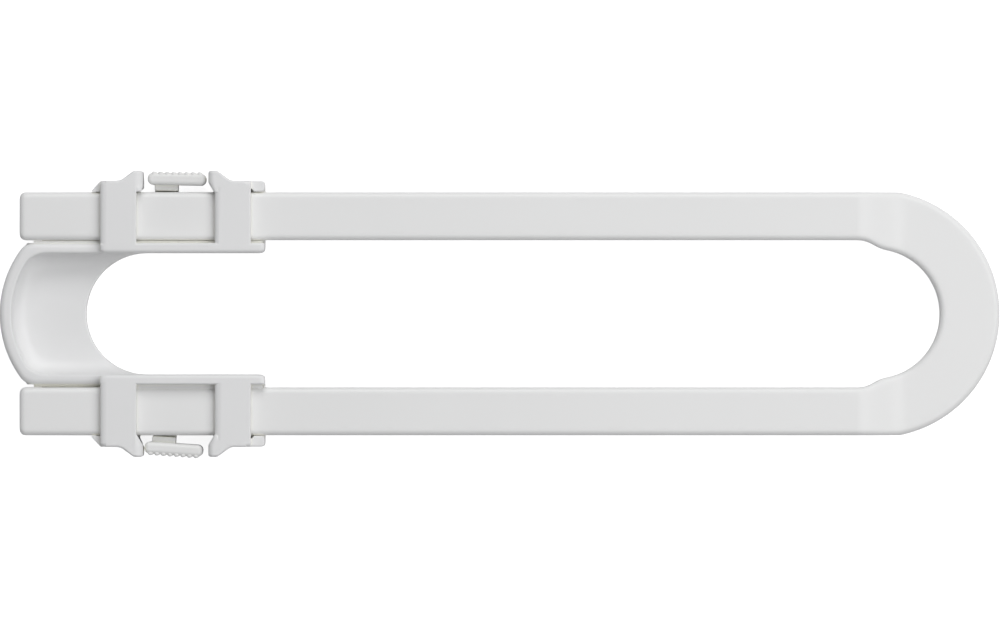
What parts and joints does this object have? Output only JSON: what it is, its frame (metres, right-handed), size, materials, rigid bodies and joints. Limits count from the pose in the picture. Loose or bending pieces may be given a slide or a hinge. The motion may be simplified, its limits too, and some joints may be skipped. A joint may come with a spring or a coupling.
{
  "type": "cabinet safety lock",
  "caption": "Sliding U-shaped safety lock for cabinet knobs: a channelled U bar, a strapped yoke that ratchets along its legs, and sprung squeeze levers.",
  "frame": {"origin": "centre of the lock's outline, on the plane that its back lies on", "axes": "+X along the legs from the yoke to the bend, +Y across the legs to the upper lever, +Z away from the door"},
  "size_m": [0.2, 0.0575, 0.0122],
  "materials": {
    "bar_plastic": "smooth satin white moulding",
    "yoke_plastic": "fine satin white moulding",
    "lever_plastic": "fine satin warm white moulding",
    "pin_steel": "bright turned steel",
    "spring_steel": "cold rolled spring strip"
  },
  "bodies": {
    "bar": {"u_bar": "bar_plastic"},
    "slider": {"yoke": "yoke_plastic", "back_cover": "yoke_plastic", "upper_pivot_pin": "pin_steel", "lower_pivot_pin": "pin_steel", "upper_return_spring": "spring_steel", "lower_return_spring": "spring_steel"},
    "upper_squeeze": {"upper_lever": "lever_plastic"},
    "lower_squeeze": {"lower_lever": "lever_plastic"}
  },
  "joints": [
    {"name": "slider_travel", "type": "slide", "parent": "bar", "child": "slider", "axis": [1, 0, 0], "range_m": [-0.0175, 0.1175]},
    {"name": "upper_lever_rock", "type": "hinge", "parent": "slider", "child": "upper_squeeze", "pos_m": [-0.0668, 0.0195, 0.0023], "axis": [0, 0, -1], "range_deg": [-4.9, 2.1], "stiffness_Nm_per_rad": 0.15, "deforming": ["upper_return_spring"]},
    {"name": "lower_lever_rock", "type": "hinge", "parent": "slider", "child": "lower_squeeze", "pos_m": [-0.0668, -0.0195, 0.0023], "axis": [0, 0, 1], "range_deg": [0, 7], "stiffness_Nm_per_rad": 0.15, "deforming": ["lower_return_spring"]}
  ]
}
